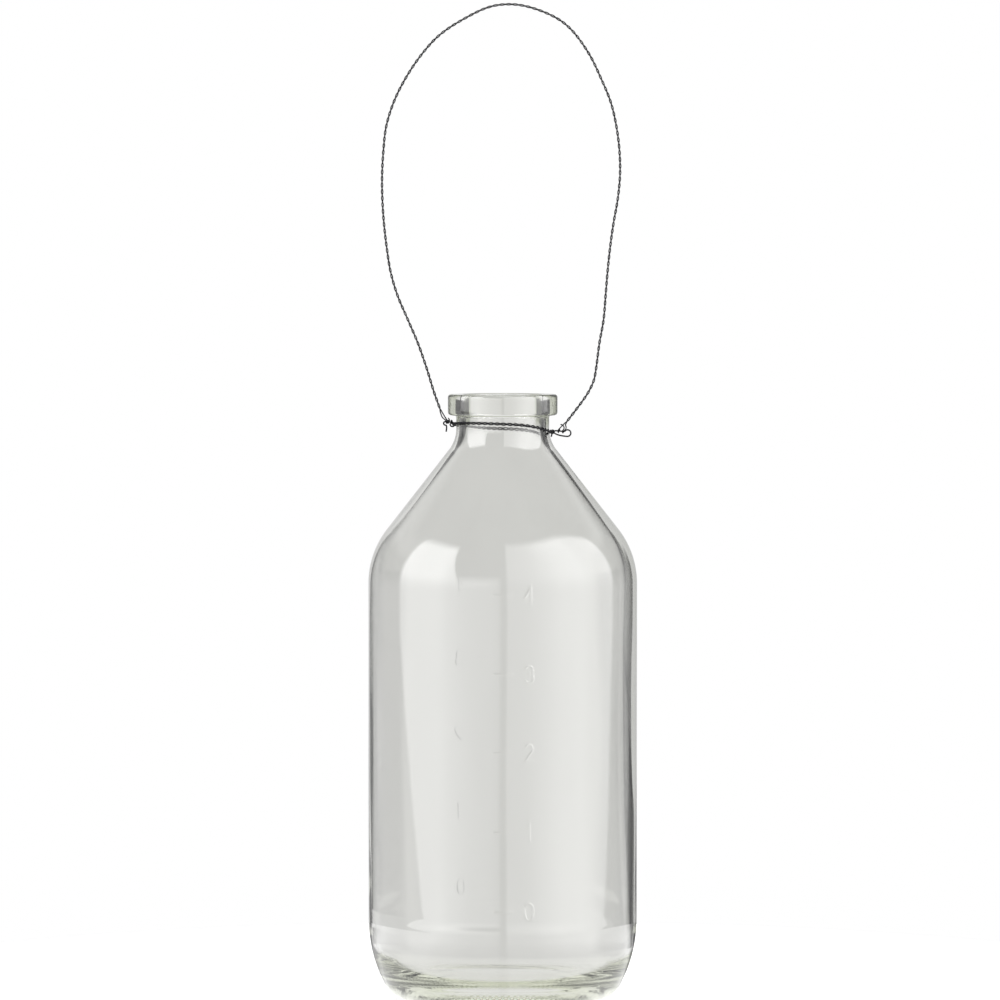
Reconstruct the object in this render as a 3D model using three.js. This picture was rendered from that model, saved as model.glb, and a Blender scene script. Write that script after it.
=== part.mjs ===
// Glass bottle vase with a twisted-wire collar and a twisted-wire bail.
// Millimetres, +Z up. The bottle's axis is the Z axis, and its foot stands at z = 0.
// The front of the vase looks along -Y, with +X to its right.

import * as THREE from 'three';

// Bottle, outside
const BOTTLE_HEIGHT = 177;
const BODY_RADIUS = 39;
const HEEL_HEIGHT = 24.8; // where the straight wall begins
const HEEL_SIDE_RADIUS = 41; // the slow upper curve of the heel
const HEEL_SIDE_ANGLE = 27; // how far that curve turns, in degrees
const BEARING_WIDTH = 2.6; // the flat ring that the bottle stands on
const PUNT_DEPTH = 3.2; // how far the underside is pushed up
const SHOULDER_RADIUS = 25.5;
const CONE_ANGLE = 38; // the shoulder's cone, in degrees from the axis
const NECK_RADIUS = 13.5;
const NECK_FILLET = 10;
const NECK_LENGTH = 3.84; // the straight part, from the fillet up to the rim

// Bottle, rim
const RIM_OVERHANG = 2.4; // beyond the neck
const RIM_HEIGHT = 6.1;
const RIM_EDGE = 0.9; // rounding of the rim's outer edges
const NECK_GROOVE_FILLET = 0.7; // under the rim
const NECK_WALL = 2.25;
const MOUTH_EDGE = 0.8; // rounding of the mouth

// Bottle, inside
const WALL = 2.3;
const FLOOR = 4.4; // glass over the middle of the punt
const INNER_HEEL_RADIUS = 13;
const FLOOR_CROWN = 1.2; // how far the inner floor rises in the middle

const BOTTLE_SEGMENTS = 40;

// Wire: each length is two strands twisted together
const COLLAR_STRAND_RADIUS = 0.21;
const BAIL_STRAND_RADIUS = 0.17;
const STRAND_GAP = 0.04; // clear space between neighbouring strands
const WRAP_GAP = 0.08; // and round the rod of an eye, where the bail turns
const STRAND_SIDES = 4;
const TWIST_LENGTH = 3.8; // one full turn of the twist
const STEPS_PER_TURN = 5;
const BEND_SPACING = 0.32; // spacing of the rings along a bent end

// Collar: a twisted ring round the neck, hanging a little crooked
const COLLAR_CLEARANCE = 0.35; // between the neck and the wire
const COLLAR_DROP = 3.05; // rim's underside to the ring's middle
const COLLAR_TILT_SIDE = 0.5; // the ring's left side stands this much higher than its middle
const COLLAR_TILT_FRONT = 0.85; // and its front this much
const COLLAR_SAG = 1.4; // how far the right side is drawn down

// Eyes of the collar: the bail hangs on the upper rod of each
const LEFT_EYE_RISE = 0.5; // upper rod above the ring
const LEFT_ROD_SPARE = 0.38; // bare rod between the collar's own winding and the bail's coil
const LEFT_EYE_HEIGHT = 1.0; // upper rod to lower rod
const LEFT_TAIL_SETBACK = 0.45; // tail to the centre of the round end
const LEFT_TAIL_LENGTH = 1.9;
const RIGHT_EYE_RISE = 0.53;
const RIGHT_EYE_REACH = 4.5; // ring's middle to the centre of the eye's round end
const RIGHT_EYE_RADIUS = 0.95; // of the round end
const RIGHT_EYE_DROP = 0.4; // upper rod to the centre of the round end
const RIGHT_TAIL_LENGTH = 1.0;
const LEFT_OPENING = 6.5; // where the twist opens for an eye, in degrees round the neck
const RIGHT_FRONT_OPENING = 12;
const RIGHT_BACK_OPENING = 6;

// Bail: a hand-bent hoop over the rim
const BAIL_RISE = 121; // above the left eye
const BAIL_HALF_WIDTH = 34.9;
const BAIL_STEM_HEIGHT = 2.7; // where the open strands above the left eye meet in the twist
const BAIL_STEM_CLEARANCE = 2.19; // and how far out from the rim
const BAIL_FORK_HEIGHT = 2.1; // where those above the right eye meet
const BAIL_FORK_CLEARANCE = 1.94;
const RIGHT_LEG_SETBACK = 1.2; // centre of the right eye's round end to the outer leg
const RIGHT_LEG_SPREAD = 1.6; // outer leg to inner leg

// The bail's outline, from the left end over the top to the right end.
// Each point gives its share of the half width and its share of the rise.
const BAIL_OUTLINE = [
  [-0.570, 0.072], [-0.632, 0.130], [-0.702, 0.188], [-0.786, 0.245], [-0.872, 0.303],
  [-0.930, 0.360], [-0.962, 0.418], [-0.985, 0.476], [-0.998, 0.534], [-1.000, 0.592],
  [-0.989, 0.650], [-0.966, 0.707], [-0.904, 0.765], [-0.806, 0.822], [-0.670, 0.880],
  [-0.522, 0.926], [-0.310, 0.966], [-0.106, 0.993], [0.060, 0.999], [0.226, 0.992],
  [0.447, 0.966], [0.573, 0.937], [0.717, 0.880], [0.815, 0.822], [0.896, 0.765],
  [0.943, 0.707], [0.968, 0.650], [0.973, 0.592], [0.954, 0.534], [0.919, 0.476],
  [0.891, 0.418], [0.870, 0.360], [0.854, 0.303], [0.837, 0.245], [0.802, 0.188],
  [0.776, 0.130], [0.756, 0.100], [0.711, 0.072], [0.645, 0.044],
];

const GLASS = new THREE.MeshStandardMaterial({
  color: 0xdfe5df, roughness: 0.04, metalness: 0, transparent: true, opacity: 0.35,
});
const WIRE = new THREE.MeshStandardMaterial({ color: 0x2b2b2d, roughness: 0.45, metalness: 0.8 });

const radians = THREE.MathUtils.degToRad;

const RIM_RADIUS = NECK_RADIUS + RIM_OVERHANG;
const BORE_RADIUS = NECK_RADIUS - NECK_WALL;

// Points of an arc in the profile's plane: x is the radius and y the height.
function arc(centreX, centreY, radius, fromDegrees, toDegrees, steps) {
  const points = [];
  for (let i = 0; i <= steps; i += 1) {
    const angle = radians(fromDegrees + ((toDegrees - fromDegrees) * i) / steps);
    const x = centreX + radius * Math.cos(angle);
    const y = centreY + radius * Math.sin(angle);
    points.push(new THREE.Vector2(x, y));
  }
  return points;
}

// Height of the shoulder, from the end of the straight wall to the straight neck.
function shoulderHeight(bodyRadius, arcRadius, neckRadius, filletRadius) {
  const cone = radians(CONE_ANGLE);
  const coneFootX = bodyRadius - arcRadius * (1 - Math.cos(cone));
  const coneTopX = neckRadius + filletRadius * (1 - Math.cos(cone));
  return (arcRadius + filletRadius) * Math.sin(cone) + (coneFootX - coneTopX) / Math.tan(cone);
}

// The shoulder hangs from the neck, and the body's wall takes up what is left of the height.
const SHOULDER_TOP = BOTTLE_HEIGHT - RIM_HEIGHT - NECK_LENGTH;
const SHOULDER_START = SHOULDER_TOP
  - shoulderHeight(BODY_RADIUS, SHOULDER_RADIUS, NECK_RADIUS, NECK_FILLET);

// The shoulder: an arc off the wall, a cone, and a hollow fillet into a straight neck.
function shoulderProfile(bodyRadius, arcRadius, neckRadius, filletRadius) {
  const filletY = SHOULDER_START + shoulderHeight(bodyRadius, arcRadius, neckRadius, filletRadius);
  return [
    ...arc(bodyRadius - arcRadius, SHOULDER_START, arcRadius, 0, CONE_ANGLE, 7),
    ...arc(neckRadius + filletRadius, filletY, filletRadius, 180 + CONE_ANGLE, 180, 5),
  ];
}

// The underside and the heel, from the axis out to the straight wall.
function footProfile() {
  const side = radians(HEEL_SIDE_ANGLE);
  const joinX = BODY_RADIUS - HEEL_SIDE_RADIUS * (1 - Math.cos(side));
  const joinY = HEEL_HEIGHT - HEEL_SIDE_RADIUS * Math.sin(side);
  const toeRadius = joinY / (1 - Math.sin(side));
  const bearingOuter = joinX - toeRadius * Math.cos(side);
  const bearingInner = bearingOuter - BEARING_WIDTH;
  const puntRadius = (bearingInner ** 2 + PUNT_DEPTH ** 2) / (2 * PUNT_DEPTH);
  const puntAngle = THREE.MathUtils.radToDeg(Math.asin(bearingInner / puntRadius));
  return [
    ...arc(0, PUNT_DEPTH - puntRadius, puntRadius, 90, 90 - puntAngle, 4),
    ...arc(bearingOuter, toeRadius, toeRadius, -90, -HEEL_SIDE_ANGLE, 6),
    ...arc(BODY_RADIUS - HEEL_SIDE_RADIUS, HEEL_HEIGHT, HEEL_SIDE_RADIUS, -HEEL_SIDE_ANGLE, 0, 4),
  ];
}

// The rim, from the neck under it, over its top and down into the bore.
function rimProfile() {
  const top = BOTTLE_HEIGHT;
  const under = BOTTLE_HEIGHT - RIM_HEIGHT;
  const groove = NECK_GROOVE_FILLET;
  const edge = RIM_EDGE;
  return [
    ...arc(NECK_RADIUS + groove, under - groove, groove, 180, 90, 3),
    ...arc(RIM_RADIUS - edge, under + edge, edge, -90, 0, 3),
    ...arc(RIM_RADIUS - edge, top - edge, edge, 0, 90, 3),
    ...arc(BORE_RADIUS + MOUTH_EDGE, top - MOUTH_EDGE, MOUTH_EDGE, 90, 180, 3),
  ];
}

// The inner heel and floor, from the straight inner wall to the axis.
function floorProfile() {
  const inner = BODY_RADIUS - WALL;
  const crown = PUNT_DEPTH + FLOOR;
  const edgeHeight = crown - FLOOR_CROWN;
  const floorEdge = inner - INNER_HEEL_RADIUS;
  const crownRadius = (floorEdge ** 2 + FLOOR_CROWN ** 2) / (2 * FLOOR_CROWN);
  const crownAngle = THREE.MathUtils.radToDeg(Math.asin(floorEdge / crownRadius));
  return [
    ...arc(floorEdge, edgeHeight + INNER_HEEL_RADIUS, INNER_HEEL_RADIUS, 0, -90, 7),
    ...arc(0, crown - crownRadius, crownRadius, 90 - crownAngle, 90, 3).slice(1),
  ];
}

function bottleGeometry() {
  const innerShoulder = shoulderProfile(
    BODY_RADIUS - WALL, SHOULDER_RADIUS - WALL, BORE_RADIUS, NECK_FILLET + WALL,
  );
  const profile = [
    ...footProfile(),
    ...shoulderProfile(BODY_RADIUS, SHOULDER_RADIUS, NECK_RADIUS, NECK_FILLET),
    ...rimProfile(),
    ...innerShoulder.reverse(),
    ...floorProfile(),
  ];
  profile[0].x = 0;
  profile[profile.length - 1].x = 0;
  const geometry = new THREE.LatheGeometry(profile, BOTTLE_SEGMENTS);
  geometry.rotateX(Math.PI / 2);
  return geometry;
}

// A closed round rod through a list of points, with flat ends.
function strandGeometry(path, radius) {
  const sides = STRAND_SIDES;
  const last = path.length - 1;
  const tangents = path.map((point, i) => {
    const before = path[Math.max(i - 1, 0)];
    const after = path[Math.min(i + 1, last)];
    return after.clone().sub(before).normalize();
  });
  const side = new THREE.Vector3(0, 1, 0);
  if (Math.abs(tangents[0].y) > 0.9) side.set(1, 0, 0);
  const positions = [];
  path.forEach((point, i) => {
    side.addScaledVector(tangents[i], -side.dot(tangents[i])).normalize();
    const up = tangents[i].clone().cross(side);
    for (let k = 0; k < sides; k += 1) {
      const angle = (2 * Math.PI * (k + 0.5)) / sides;
      const corner = point.clone();
      corner.addScaledVector(side, radius * Math.cos(angle));
      corner.addScaledVector(up, radius * Math.sin(angle));
      positions.push(corner.x, corner.y, corner.z);
    }
  });
  const indices = [];
  for (let i = 0; i < last; i += 1) {
    for (let k = 0; k < sides; k += 1) {
      const a = i * sides + k;
      const b = i * sides + ((k + 1) % sides);
      indices.push(a, b, a + sides, b, b + sides, a + sides);
    }
  }
  for (let k = 1; k < sides - 1; k += 1) {
    indices.push(0, k + 1, k);
    indices.push(last * sides, last * sides + k, last * sides + k + 1);
  }
  const geometry = new THREE.BufferGeometry();
  geometry.setAttribute('position', new THREE.Float32BufferAttribute(positions, 3));
  geometry.setIndex(indices);
  geometry.computeVertexNormals();
  return geometry;
}

// Even points along a smooth curve through hand-placed points.
function bend(points) {
  const curve = new THREE.CatmullRomCurve3(points, false, 'centripetal');
  const steps = Math.max(2, Math.ceil(curve.getLength() / BEND_SPACING));
  return curve.getSpacedPoints(steps);
}

const at = (x, y, z) => new THREE.Vector3(x, y, z);

// Half the distance between the middles of the two strands of a pair. The flat steps of the
// twist cut across its circle, and the chord keeps the strands clear there too.
function twistRadius(strandRadius) {
  return (strandRadius + STRAND_GAP / 2) / Math.cos(Math.PI / STEPS_PER_TURN);
}

const COLLAR_TWIST_RADIUS = twistRadius(COLLAR_STRAND_RADIUS);
const BAIL_TWIST_RADIUS = twistRadius(BAIL_STRAND_RADIUS);
const COLLAR_SPACING = 2 * COLLAR_STRAND_RADIUS + STRAND_GAP; // middles of two strands side by side
const COIL_RADIUS = COLLAR_STRAND_RADIUS + BAIL_STRAND_RADIUS + WRAP_GAP; // of the bail on an eye's rod
const COIL_LEAD = 4 * BAIL_STRAND_RADIUS + 3 * STRAND_GAP; // of two strands wound side by side
const WINDING_END = COLLAR_SPACING * 1.45; // of the collar's own winding on the left rod
const LEFT_EYE_REACH = WINDING_END + LEFT_ROD_SPARE + COIL_LEAD * 1.5;
const RING_RADIUS = NECK_RADIUS + COLLAR_CLEARANCE + COLLAR_STRAND_RADIUS + COLLAR_TWIST_RADIUS;
const RING_HEIGHT = BOTTLE_HEIGHT - RIM_HEIGHT - COLLAR_DROP;

// A point of the ring's middle line: 180 degrees is the left side, 270 the front, 360 the right.
function ringPoint(degrees) {
  const angle = radians(degrees);
  const x = Math.cos(angle);
  const y = Math.sin(angle);
  const sag = COLLAR_SAG * Math.max(0, x) ** 3;
  const z = RING_HEIGHT - COLLAR_TILT_SIDE * x - COLLAR_TILT_FRONT * y - sag;
  return at(RING_RADIUS * x, RING_RADIUS * y, z);
}

// A point of one strand of the ring, at a phase of the twist. Phase 0 lies outside the ring.
function ringStrand(degrees, phase) {
  const angle = radians(degrees);
  const point = ringPoint(degrees);
  const out = COLLAR_TWIST_RADIUS * Math.cos(phase);
  point.x += out * Math.cos(angle);
  point.y += out * Math.sin(angle);
  point.z += COLLAR_TWIST_RADIUS * Math.sin(phase);
  return point;
}

// One strand's twist between two places of the ring, with whole turns between them.
function ringTwist(fromDegrees, toDegrees, startPhase) {
  const length = radians(toDegrees - fromDegrees) * RING_RADIUS;
  const turns = Math.round(length / TWIST_LENGTH);
  const steps = turns * STEPS_PER_TURN;
  const points = [];
  for (let i = 0; i <= steps; i += 1) {
    const share = i / steps;
    const degrees = fromDegrees + (toDegrees - fromDegrees) * share;
    points.push(ringStrand(degrees, startPhase + 2 * Math.PI * turns * share));
  }
  return points;
}

// The hinge line runs through the upper rods of both eyes.
const LEFT_EYE = ringPoint(180).add(at(0, 0, LEFT_EYE_RISE));
const RIGHT_EYE = ringPoint(360).add(at(0, 0, RIGHT_EYE_RISE));
const HINGE = RIGHT_EYE.clone().sub(LEFT_EYE).normalize();
const HINGE_UP = at(-HINGE.z, 0, HINGE.x);

// Places measured from an eye: outward along the hinge line, to the back, and up from it.
function leftOf(out, back, up) {
  return LEFT_EYE.clone().addScaledVector(HINGE, -out).addScaledVector(HINGE_UP, up).add(at(0, back, 0));
}

function rightOf(out, back, up) {
  return RIGHT_EYE.clone().addScaledVector(HINGE, out).addScaledVector(HINGE_UP, up).add(at(0, back, 0));
}

// Part of a round end of an eye, upright in the plane of the bail.
function roundEnd(place, centreOut, centreUp, radius, fromDegrees, toDegrees) {
  const steps = Math.ceil(Math.abs(toDegrees - fromDegrees) / 40);
  const points = [];
  for (let i = 0; i <= steps; i += 1) {
    const angle = radians(fromDegrees + ((toDegrees - fromDegrees) * i) / steps);
    points.push(place(centreOut + radius * Math.cos(angle), 0, centreUp + radius * Math.sin(angle)));
  }
  return points;
}

// A strand wound round an eye's upper rod. The angle is 0 above the rod, 90 in front of it and
// 180 below it, and the coil travels along the rod.
function wrap(place, strandRadius, fromOut, toOut, fromDegrees, toDegrees) {
  const radius = COLLAR_STRAND_RADIUS + strandRadius + WRAP_GAP;
  const steps = Math.ceil(Math.abs(toDegrees - fromDegrees) / 45);
  const points = [];
  for (let i = 0; i <= steps; i += 1) {
    const share = i / steps;
    const angle = radians(fromDegrees + (toDegrees - fromDegrees) * share);
    const out = fromOut + (toOut - fromOut) * share;
    points.push(place(out, -radius * Math.sin(angle), radius * Math.cos(angle)));
  }
  return points;
}

// The first strand of the collar: its start is the left eye, it forms the right eye on the
// way round, and its end is wound on the left eye's upper rod, which closes the ring.
function collarStrandOne() {
  const gap = COLLAR_SPACING;
  const tailOut = LEFT_EYE_REACH - LEFT_TAIL_SETBACK;
  const leftRadius = LEFT_EYE_HEIGHT / 2;
  const leftEye = bend([
    leftOf(tailOut, 0, -LEFT_EYE_HEIGHT - LEFT_TAIL_LENGTH),
    leftOf(tailOut, 0, -LEFT_EYE_HEIGHT - gap),
    leftOf(tailOut + 0.3 * gap, 0, -LEFT_EYE_HEIGHT - 0.2 * gap),
    ...roundEnd(leftOf, LEFT_EYE_REACH, -leftRadius, leftRadius, -90, 90),
    leftOf(LEFT_EYE_REACH * 0.67, 0, 0),
    leftOf(gap * 1.1, gap * -0.1, 0),
    leftOf(gap * 0.2, gap * -1.1, gap * -0.1),
    ringStrand(180 + LEFT_OPENING, 0),
  ]);
  const reach = RIGHT_EYE_REACH;
  const depth = RIGHT_EYE_DROP + RIGHT_EYE_RADIUS;
  const rightEye = bend([
    ringStrand(360 - RIGHT_FRONT_OPENING, 0),
    ringStrand(360 - RIGHT_FRONT_OPENING * 0.6, 0),
    rightOf(gap * 1.5, gap * -1.3, depth * -0.52),
    rightOf(reach * 0.33, gap * -0.2, depth * -0.78),
    rightOf(reach * 0.62, 0, depth * -0.96),
    ...roundEnd(rightOf, reach, -RIGHT_EYE_DROP, RIGHT_EYE_RADIUS, -90, 125),
    rightOf(reach * 0.8, 0, gap * 0.07),
    rightOf(reach * 0.5, 0, 0),
    rightOf(reach * 0.25, 0, 0),
    rightOf(gap * 1.1, gap * 0.85, gap * -0.33),
    ringStrand(360 + RIGHT_BACK_OPENING, 0),
  ]);
  const close = bend([
    ringStrand(540 - LEFT_OPENING, 0),
    leftOf(gap * 0.75, gap * 2.05, gap * 0.45),
    ...wrap(leftOf, COLLAR_STRAND_RADIUS, gap * 1.05, WINDING_END, -30, 150),
  ]);
  return [
    ...leftEye.slice(0, -1),
    ...ringTwist(180 + LEFT_OPENING, 360 - RIGHT_FRONT_OPENING, 0),
    ...rightEye.slice(1, -1),
    ...ringTwist(360 + RIGHT_BACK_OPENING, 540 - LEFT_OPENING, 0),
    ...close.slice(1),
  ];
}

// The second strand starts and ends on the right side, where its end is wound round the first
// one and hangs down as a short tail. On the left it passes under the eye.
function collarStrandTwo() {
  const gap = COLLAR_SPACING;
  const carrier = ringStrand(360 - RIGHT_FRONT_OPENING * 0.75, 0);
  const radius = 2 * COLLAR_STRAND_RADIUS + WRAP_GAP;
  const round = (degrees, back) => {
    const angle = radians(degrees);
    return carrier.clone().add(at(radius * Math.cos(angle), back, radius * Math.sin(angle)));
  };
  const tail = bend([
    ringStrand(360 - RIGHT_FRONT_OPENING, Math.PI),
    round(130, gap * -0.55),
    round(75, gap * -0.2),
    round(15, gap * 0.1),
    round(-45, gap * 0.2),
    round(-100, 0),
    round(-120, gap * -0.4).add(at(gap * -0.3, 0, -RIGHT_TAIL_LENGTH)),
  ]);
  const passLeft = bend([
    ringStrand(180 - LEFT_OPENING, Math.PI),
    leftOf(gap * 0.2, gap * 1.95, gap * -1.1),
    leftOf(gap * 1.3, gap, gap * -0.75),
    leftOf(gap * 1.9, gap * 0.65, gap * -1.4),
    leftOf(gap * 1.4, gap * 0.45, gap * -2.4),
    leftOf(0, gap * 0.1, gap * -2.7),
    leftOf(gap * -0.8, gap * -0.85, gap * -2.05),
    ringStrand(180 + LEFT_OPENING, Math.PI),
  ]);
  return [
    ...ringTwist(RIGHT_BACK_OPENING, 180 - LEFT_OPENING, Math.PI),
    ...passLeft.slice(1, -1),
    ...ringTwist(180 + LEFT_OPENING, 360 - RIGHT_FRONT_OPENING, Math.PI),
    ...tail.slice(1),
  ];
}

// Where the bail's strands meet in the twist, above each eye.
const BAIL_STEM_OUT = RIM_RADIUS + BAIL_STEM_CLEARANCE - RING_RADIUS;
const BAIL_FORK_OUT = RIM_RADIUS + BAIL_FORK_CLEARANCE - RING_RADIUS;

// The bail's middle line, between the places where its strands open.
function bailLine() {
  const across = BAIL_HALF_WIDTH;
  const points = BAIL_OUTLINE.map(([x, z]) => at(x * across, 0, LEFT_EYE.z + z * BAIL_RISE));
  points.unshift(leftOf(BAIL_STEM_OUT, 0, BAIL_STEM_HEIGHT));
  points.push(rightOf(BAIL_FORK_OUT, 0, BAIL_FORK_HEIGHT));
  return new THREE.CatmullRomCurve3(points, false, 'centripetal');
}

const BAIL_LINE = bailLine();

// One strand of the bail's twist. Phase 0 lies on the outer side of the hoop, and the half
// turn at the end brings each strand to the other side.
function bailTwist(startPhase) {
  const turns = Math.round(BAIL_LINE.getLength() / TWIST_LENGTH) + 0.5;
  const steps = Math.round(turns * STEPS_PER_TURN);
  const points = [];
  for (let i = 0; i <= steps; i += 1) {
    const share = i / steps;
    const phase = startPhase + 2 * Math.PI * turns * share;
    const point = BAIL_LINE.getPointAt(share);
    const along = BAIL_LINE.getTangentAt(share);
    const outward = at(-along.z, 0, along.x);
    point.addScaledVector(outward, BAIL_TWIST_RADIUS * Math.cos(phase));
    point.y -= BAIL_TWIST_RADIUS * Math.sin(phase);
    points.push(point);
  }
  return points;
}

// A place on a strand's way from its coil up to the twist: shares of the way out, of the
// coil's radius to the front, and of the way up.
function towardStem(coilOut, outShare, frontShare, upShare) {
  const out = coilOut + (BAIL_STEM_OUT - coilOut) * outShare;
  return leftOf(out, -COIL_RADIUS * frontShare, BAIL_STEM_HEIGHT * upShare);
}

function towardFork(coilOut, outShare, frontShare, upShare) {
  const out = coilOut + (BAIL_FORK_OUT - coilOut) * outShare;
  return rightOf(out, -COIL_RADIUS * frontShare, BAIL_FORK_HEIGHT * upShare);
}

// The first strand of the bail: outer on the left, and the inner leg of the fork on the right.
function bailStrandOne() {
  const twist = bailTwist(0);
  const leftEnd = LEFT_EYE_REACH;
  const turned = 470;
  const leftStart = leftEnd - (COIL_LEAD * turned) / 360;
  const left = bend([
    ...wrap(leftOf, BAIL_STRAND_RADIUS, leftStart, leftEnd, 20 + turned, 20),
    towardStem(leftEnd, 0.17, 0.4, 0.22),
    towardStem(leftEnd, 0.7, 0.3, 0.46),
    twist[0],
  ]);
  const leg = RIGHT_EYE_REACH - RIGHT_LEG_SETBACK - RIGHT_LEG_SPREAD;
  const right = bend([
    twist[twist.length - 1],
    towardFork(leg, 0.33, 0.8, 0.48),
    towardFork(leg, 0.03, 1, 0.12),
    ...wrap(rightOf, BAIL_STRAND_RADIUS, leg, leg + COIL_RADIUS, 100, 400),
  ]);
  return [...left.slice(0, -1), ...twist, ...right.slice(1)];
}

// The second strand: inner on the left, where its end stands up as a nub, and the doubled leg
// of the fork on the right, where its end comes back up and sticks out to the side.
function bailStrandTwo() {
  const twist = bailTwist(Math.PI);
  const reach = COIL_RADIUS;
  const leftEnd = LEFT_EYE_REACH - COIL_LEAD / 2;
  const leftStart = leftEnd - COIL_LEAD;
  const left = bend([
    leftOf(leftStart + reach, -reach, reach * 2.55),
    leftOf(leftStart + reach * 0.33, reach * -0.9, reach * 1.55),
    ...wrap(leftOf, BAIL_STRAND_RADIUS, leftStart, leftEnd, 20 + 360, 20),
    towardStem(leftEnd, 0.1, 0.4, 0.28),
    towardStem(leftEnd, 0.45, 0.3, 0.59),
    twist[0],
  ]);
  const leg = RIGHT_EYE_REACH - RIGHT_LEG_SETBACK;
  const up = BAIL_FORK_HEIGHT;
  const right = bend([
    twist[twist.length - 1],
    rightOf(leg + reach * 1.45, reach * -0.8, up * 0.52),
    rightOf(leg + reach * 0.67, -reach, up * 0.14),
    ...wrap(rightOf, BAIL_STRAND_RADIUS, leg, leg - reach * 0.78, 100, 280),
    rightOf(leg, reach, up * 0.24),
    rightOf(leg + reach * 0.1, reach, up * 0.57),
    rightOf(leg - reach * 0.67, reach, up * 0.81),
    rightOf(leg - reach * 2.2, reach * 0.6, up * 0.93),
  ]);
  return [...left.slice(0, -1), ...twist, ...right.slice(1)];
}

function named(name, geometry, material) {
  const mesh = new THREE.Mesh(geometry, material);
  mesh.name = name;
  return mesh;
}

const vase = new THREE.Group();
vase.name = 'bottle_vase';
vase.add(named('glass_bottle', bottleGeometry(), GLASS));

const collar = new THREE.Group();
collar.add(named('collar_strand_1', strandGeometry(collarStrandOne(), COLLAR_STRAND_RADIUS), WIRE));
collar.add(named('collar_strand_2', strandGeometry(collarStrandTwo(), COLLAR_STRAND_RADIUS), WIRE));
vase.add(collar);

const bail = new THREE.Group();
bail.add(named('bail_strand_1', strandGeometry(bailStrandOne(), BAIL_STRAND_RADIUS), WIRE));
bail.add(named('bail_strand_2', strandGeometry(bailStrandTwo(), BAIL_STRAND_RADIUS), WIRE));
vase.add(bail);

export default vase;
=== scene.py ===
"""A bottle vase: a clear moulded glass bottle with a twisted-wire collar and a twisted-wire bail.

Metres, +Z up. The bottle's axis is the Z axis, its foot stands at z = 0, and its front looks
along -Y.
"""

import math

import bpy
import numpy as np
from bpy.props import FloatProperty, FloatVectorProperty, IntProperty, PointerProperty
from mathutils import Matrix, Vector


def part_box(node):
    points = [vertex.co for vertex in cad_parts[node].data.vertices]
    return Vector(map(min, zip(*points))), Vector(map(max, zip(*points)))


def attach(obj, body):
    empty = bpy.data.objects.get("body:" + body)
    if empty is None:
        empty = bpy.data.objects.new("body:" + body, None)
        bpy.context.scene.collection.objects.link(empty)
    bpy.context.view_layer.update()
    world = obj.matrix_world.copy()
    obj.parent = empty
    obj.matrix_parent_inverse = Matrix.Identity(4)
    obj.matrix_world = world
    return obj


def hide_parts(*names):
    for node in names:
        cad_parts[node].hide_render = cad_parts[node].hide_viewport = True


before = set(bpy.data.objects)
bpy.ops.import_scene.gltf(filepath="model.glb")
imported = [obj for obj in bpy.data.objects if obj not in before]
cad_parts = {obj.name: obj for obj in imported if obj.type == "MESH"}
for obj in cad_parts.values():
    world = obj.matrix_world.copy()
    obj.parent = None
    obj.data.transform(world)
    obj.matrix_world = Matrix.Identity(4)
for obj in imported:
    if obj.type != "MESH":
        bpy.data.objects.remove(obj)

bl_info = {
    "name": "Bottle Vase",
    "version": (1, 0, 0),
    "blender": (4, 5, 0),
    "location": "View3D > Sidebar > Bottle Vase",
    "description": "Makes a glass bottle vase with a collar and a bail of twisted wire",
    "category": "Add Mesh",
}

MM = 0.001

# The bottle's height and width come from the frame.
BODY_RADIUS, _, BOTTLE_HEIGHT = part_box("glass_bottle")[1]


# ---- sizes and colours


class BottleSizes(bpy.types.PropertyGroup):
    """Sizes of the glass."""

    wall: FloatProperty(
        name="Wall", description="Mean thickness of the wall", default=1.95 * MM, unit="LENGTH"
    )
    lean: FloatProperty(
        name="Lean", description="How far left the hollow lies", default=0.6 * MM, unit="LENGTH"
    )
    ripple: FloatProperty(
        name="Ripple", description="Waviness of the inner wall", default=0.09 * MM, unit="LENGTH"
    )
    relief: FloatProperty(
        name="Relief", description="Height of the moulded scale", default=0.26 * MM, unit="LENGTH"
    )
    stroke: FloatProperty(
        name="Stroke", description="Width of the scale's strokes", default=0.6 * MM, unit="LENGTH"
    )
    columns: IntProperty(name="Columns", description="Steps round the bottle", default=360, min=24)


class WireSizes(bpy.types.PropertyGroup):
    """Sizes of the wire."""

    collar_strand: FloatProperty(
        name="Collar strand", description="Radius of the wire", default=0.215 * MM, unit="LENGTH"
    )
    bail_strand: FloatProperty(
        name="Bail strand", description="Radius of the wire", default=0.174 * MM, unit="LENGTH"
    )
    pitch: FloatProperty(
        name="Pitch", description="Length of one turn of the twist", default=3.8 * MM, unit="LENGTH"
    )
    sides: IntProperty(name="Sides", description="Sides of a strand's section", default=10, min=4)


class Finishes(bpy.types.PropertyGroup):
    """Colours of the object, and the painted shade on the glass rim's sides."""

    glass: FloatVectorProperty(
        name="Glass",
        description="Tint of the glass",
        subtype="COLOR",
        default=(0.93, 0.93, 0.915),
    )
    glass_depth: FloatVectorProperty(
        name="Glass depth",
        description="Colour that thick glass takes on",
        subtype="COLOR",
        default=(0.84, 0.90, 0.56),
    )
    # Glass rim: a darker green on the rim's sides seen edge-on, partly the green of thick glass and
    # partly painted shade.
    glass_rim_shade: FloatVectorProperty(
        name="Glass rim",
        description="Tint of the rim seen from the side",
        subtype="COLOR",
        default=(0.42, 0.45, 0.33),
    )
    wire: FloatVectorProperty(
        name="Wire",
        description="Bare annealed wire",
        subtype="COLOR",
        default=(0.008, 0.008, 0.009),
    )
    wire_scale: FloatVectorProperty(
        name="Wire scale",
        description="Greyer scale on the wire",
        subtype="COLOR",
        default=(0.022, 0.022, 0.024),
    )


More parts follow.
